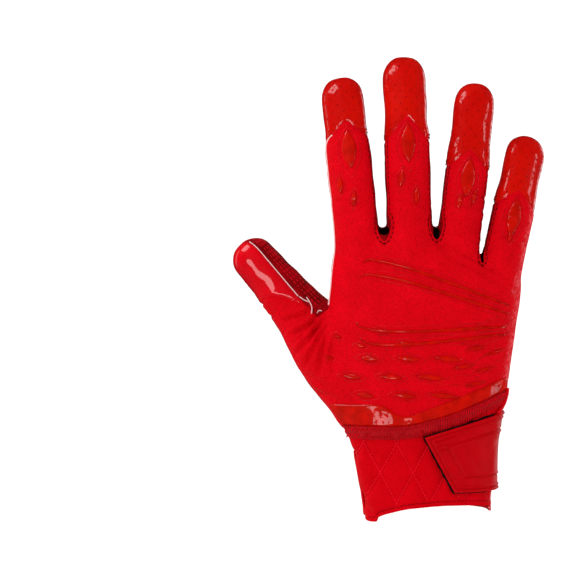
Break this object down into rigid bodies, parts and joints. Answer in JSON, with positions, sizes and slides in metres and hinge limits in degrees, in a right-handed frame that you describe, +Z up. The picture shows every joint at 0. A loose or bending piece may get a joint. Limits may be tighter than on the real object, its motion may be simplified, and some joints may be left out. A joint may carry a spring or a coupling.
{
  "type": "football receiver glove",
  "caption": "Right-hand sport glove with a glossy perforated palm, a printed cloth back, a quilted cuff and a wrist strap, in its worn shape.",
  "frame": {"origin": "middle of the wrist opening, level with the lowest corner of the cuff", "axes": "+Z up the fingers, +X towards the little finger's side, -Y out of the back of the hand"},
  "size_m": [0.1571, 0.052, 0.2326],
  "materials": {
    "patent": "glossy tacky palm leather, perforated",
    "cloth": "stretch knit cloth",
    "mesh": "darker sidewall cloth",
    "quilt": "brushed quilted cloth",
    "print": "raised glossy rubber print",
    "strap": "moulded satin strap",
    "hook": "black hook tape",
    "tape": "woven tape",
    "patch": "plain patch"
  },
  "bodies": {
    "root": {"back_panel": "cloth", "palm_panel": "patent", "thumb_panel": "patent", "thumb_cap": "print", "thumb_gusset": "mesh", "sidewall_index_middle": "mesh", "sidewall_middle_ring": "mesh", "sidewall_ring_little": "mesh", "hem_tape": "tape", "cuff": "quilt", "cuff_binding": "quilt", "wrist_strap": "strap", "hook_tape": "hook", "pull_tab": "tape", "tab_patch_upper": "patch", "tab_patch_lower": "patch", "finger_pad_index": "print", "finger_pad_middle": "print", "finger_pad_ring": "print", "finger_pad_little": "print", "back_rib_1": "print", "back_rib_2": "print", "back_rib_3": "print", "back_rib_4": "print", "back_drop_1_1": "print", "back_drop_1_2": "print", "back_drop_1_3": "print", "back_drop_2_1": "print", "back_drop_2_2": "print", "back_drop_2_3": "print", "back_drop_3_1": "print", "back_drop_3_2": "print", "back_drop_3_3": "print", "print_band": "print"}
  },
  "joints": []
}
